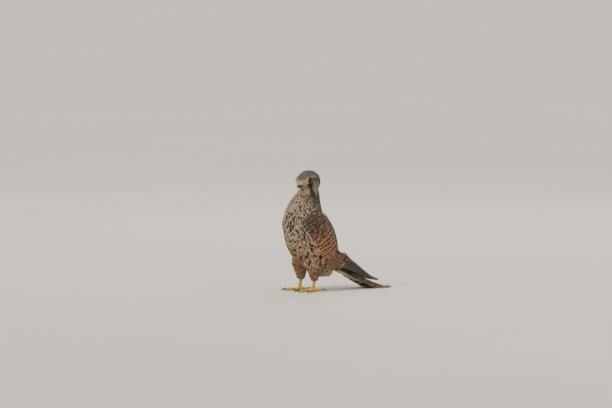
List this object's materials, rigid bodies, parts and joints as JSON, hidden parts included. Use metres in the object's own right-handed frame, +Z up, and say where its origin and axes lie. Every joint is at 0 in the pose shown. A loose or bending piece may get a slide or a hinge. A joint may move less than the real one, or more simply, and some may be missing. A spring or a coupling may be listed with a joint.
{
  "type": "common kestrel",
  "caption": "Life-size still model of a perched female common kestrel with folded wings, a lowered tail and its head turned slightly to its left.",
  "frame": {"origin": "middle of the bird's bounding box, on the floor that its feet rest on", "axes": "+Z up, the bird faces -Y, its own left side is +X"},
  "size_m": [0.0938, 0.2076, 0.2081],
  "materials": {
    "head_feathers": "matte feathers",
    "breast_feathers": "matte feathers with dark streaks",
    "back_feathers": "barred feathers with a soft sheen",
    "tail_feathers": "barred feathers",
    "eye": "wet gloss",
    "bill": "smooth horn",
    "claw": "smooth horn",
    "leg_skin": "scaly skin"
  },
  "bodies": {
    "root": {"torso": "breast_feathers", "neck": "head_feathers", "head": "head_feathers", "cere": "leg_skin", "bill_upper": "bill", "bill_lower": "bill", "eye_left": "eye", "eye_right": "eye", "tail": "tail_feathers", "wing_left": "back_feathers", "thigh_left": "breast_feathers", "tarsus_left": "leg_skin", "foot_left": "leg_skin", "toe_left_hind": "leg_skin", "claw_left_hind": "claw", "toe_left_inner": "leg_skin", "claw_left_inner": "claw", "toe_left_middle": "leg_skin", "claw_left_middle": "claw", "toe_left_outer": "leg_skin", "claw_left_outer": "claw", "wing_right": "back_feathers", "thigh_right": "breast_feathers", "tarsus_right": "leg_skin", "foot_right": "leg_skin", "toe_right_hind": "leg_skin", "claw_right_hind": "claw", "toe_right_inner": "leg_skin", "claw_right_inner": "claw", "toe_right_middle": "leg_skin", "claw_right_middle": "claw", "toe_right_outer": "leg_skin", "claw_right_outer": "claw"}
  },
  "joints": []
}
